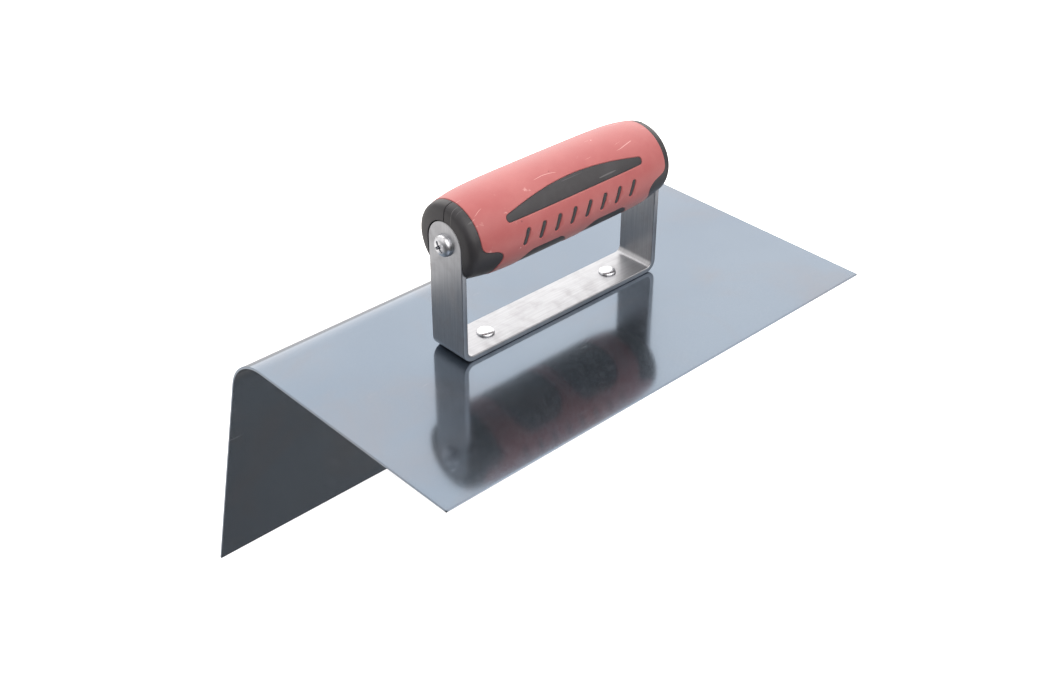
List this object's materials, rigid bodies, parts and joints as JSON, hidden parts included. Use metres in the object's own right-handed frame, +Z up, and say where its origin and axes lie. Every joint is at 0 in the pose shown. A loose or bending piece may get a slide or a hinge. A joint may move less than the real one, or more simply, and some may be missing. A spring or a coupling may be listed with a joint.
{
  "type": "corner trowel",
  "caption": "Corner trowel: thin steel sheet bent to an obtuse rounded corner, with a riveted strap bracket and a soft-grip handle on the outside of one leg.",
  "frame": {"origin": "on the plate's working face, under the middle of the handle", "axes": "+X along the blade, +Y from the plate's front edge to the bend, +Z up from the plate through the handle"},
  "size_m": [0.254, 0.185, 0.2226],
  "materials": {
    "blued_steel": "blued, ground smooth, near-mirror",
    "strap_steel": "satin, zinc plated",
    "fastener_steel": "bright zinc plated",
    "core_plastic": "moulded, fine grain",
    "grip_rubber": "soft matte overmould"
  },
  "bodies": {
    "root": {"blade": "blued_steel", "handle_bracket": "strap_steel", "rivet_left": "fastener_steel", "rivet_right": "fastener_steel", "core_front_shell": "core_plastic", "core_back_shell": "core_plastic", "grip_sleeve": "grip_rubber", "screw_left": "fastener_steel", "screw_right": "fastener_steel"}
  },
  "joints": []
}
